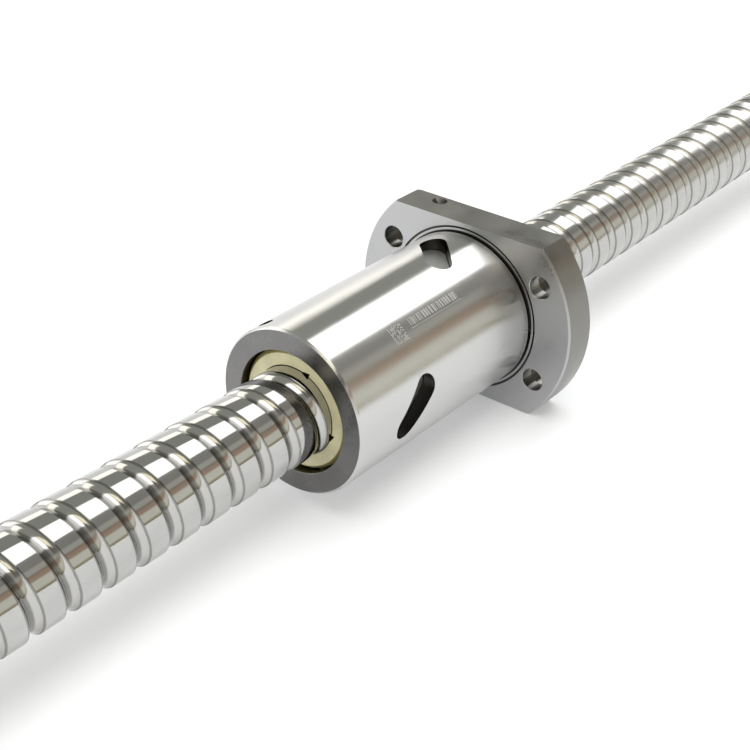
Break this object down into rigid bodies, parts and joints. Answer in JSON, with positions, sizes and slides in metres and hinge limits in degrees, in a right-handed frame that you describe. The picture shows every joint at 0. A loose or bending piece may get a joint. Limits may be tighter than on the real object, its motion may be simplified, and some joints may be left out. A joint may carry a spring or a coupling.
{
  "type": "ball screw assembly",
  "caption": "Right-hand ground ball screw with a round flanged nut that has two flats, bolt holes, internal ball deflectors, end wipers and machined shaft ends.",
  "frame": {"origin": "on the screw axis at the middle of the screw's length, which is also the bounding box centre", "axes": "+X along the screw from the supported end to the drive end, +Z normal to the two flange flats, +Y to the side"},
  "size_m": [0.52, 0.072, 0.052],
  "materials": {
    "screw_steel": "ground and polished hardened steel",
    "nut_steel": "ground outside, matte hardened end faces",
    "deflector_steel": "satin",
    "ball_steel": "polished bearing steel",
    "wiper_plastic": "ivory, slightly translucent",
    "black_steel": "black oxide"
  },
  "bodies": {
    "nut": {"nut_body": "nut_steel", "deflector_1": "deflector_steel", "deflector_2": "deflector_steel", "deflector_3": "deflector_steel", "deflector_4": "deflector_steel", "balls_loaded_1": "ball_steel", "balls_loaded_2": "ball_steel", "balls_loaded_3": "ball_steel", "balls_loaded_4": "ball_steel", "balls_returning_1": "ball_steel", "balls_returning_2": "ball_steel", "balls_returning_3": "ball_steel", "balls_returning_4": "ball_steel", "wiper_front": "wiper_plastic", "wiper_rear": "wiper_plastic", "set_screw_front_top": "black_steel", "set_screw_front_bottom": "black_steel", "set_screw_rear_top": "black_steel", "set_screw_rear_bottom": "black_steel", "oil_port_plug": "black_steel"},
    "ring": {"retaining_ring": "black_steel"},
    "screw": {"screw_shaft": "screw_steel"}
  },
  "joints": [
    {"name": "screw_travel", "type": "slide", "parent": "nut", "child": "ring", "axis": [1, 0, 0], "range_m": [-0.18, 0.145]},
    {"name": "screw_spin", "type": "hinge", "parent": "ring", "child": "screw", "pos_m": [0, 0, 0], "axis": [1, 0, 0], "range_deg": [-6480, 5220]}
  ],
  "couplings": [
    {"joint": "screw_travel", "follows": "screw_spin", "m_per_rad": 0.0015915}
  ]
}
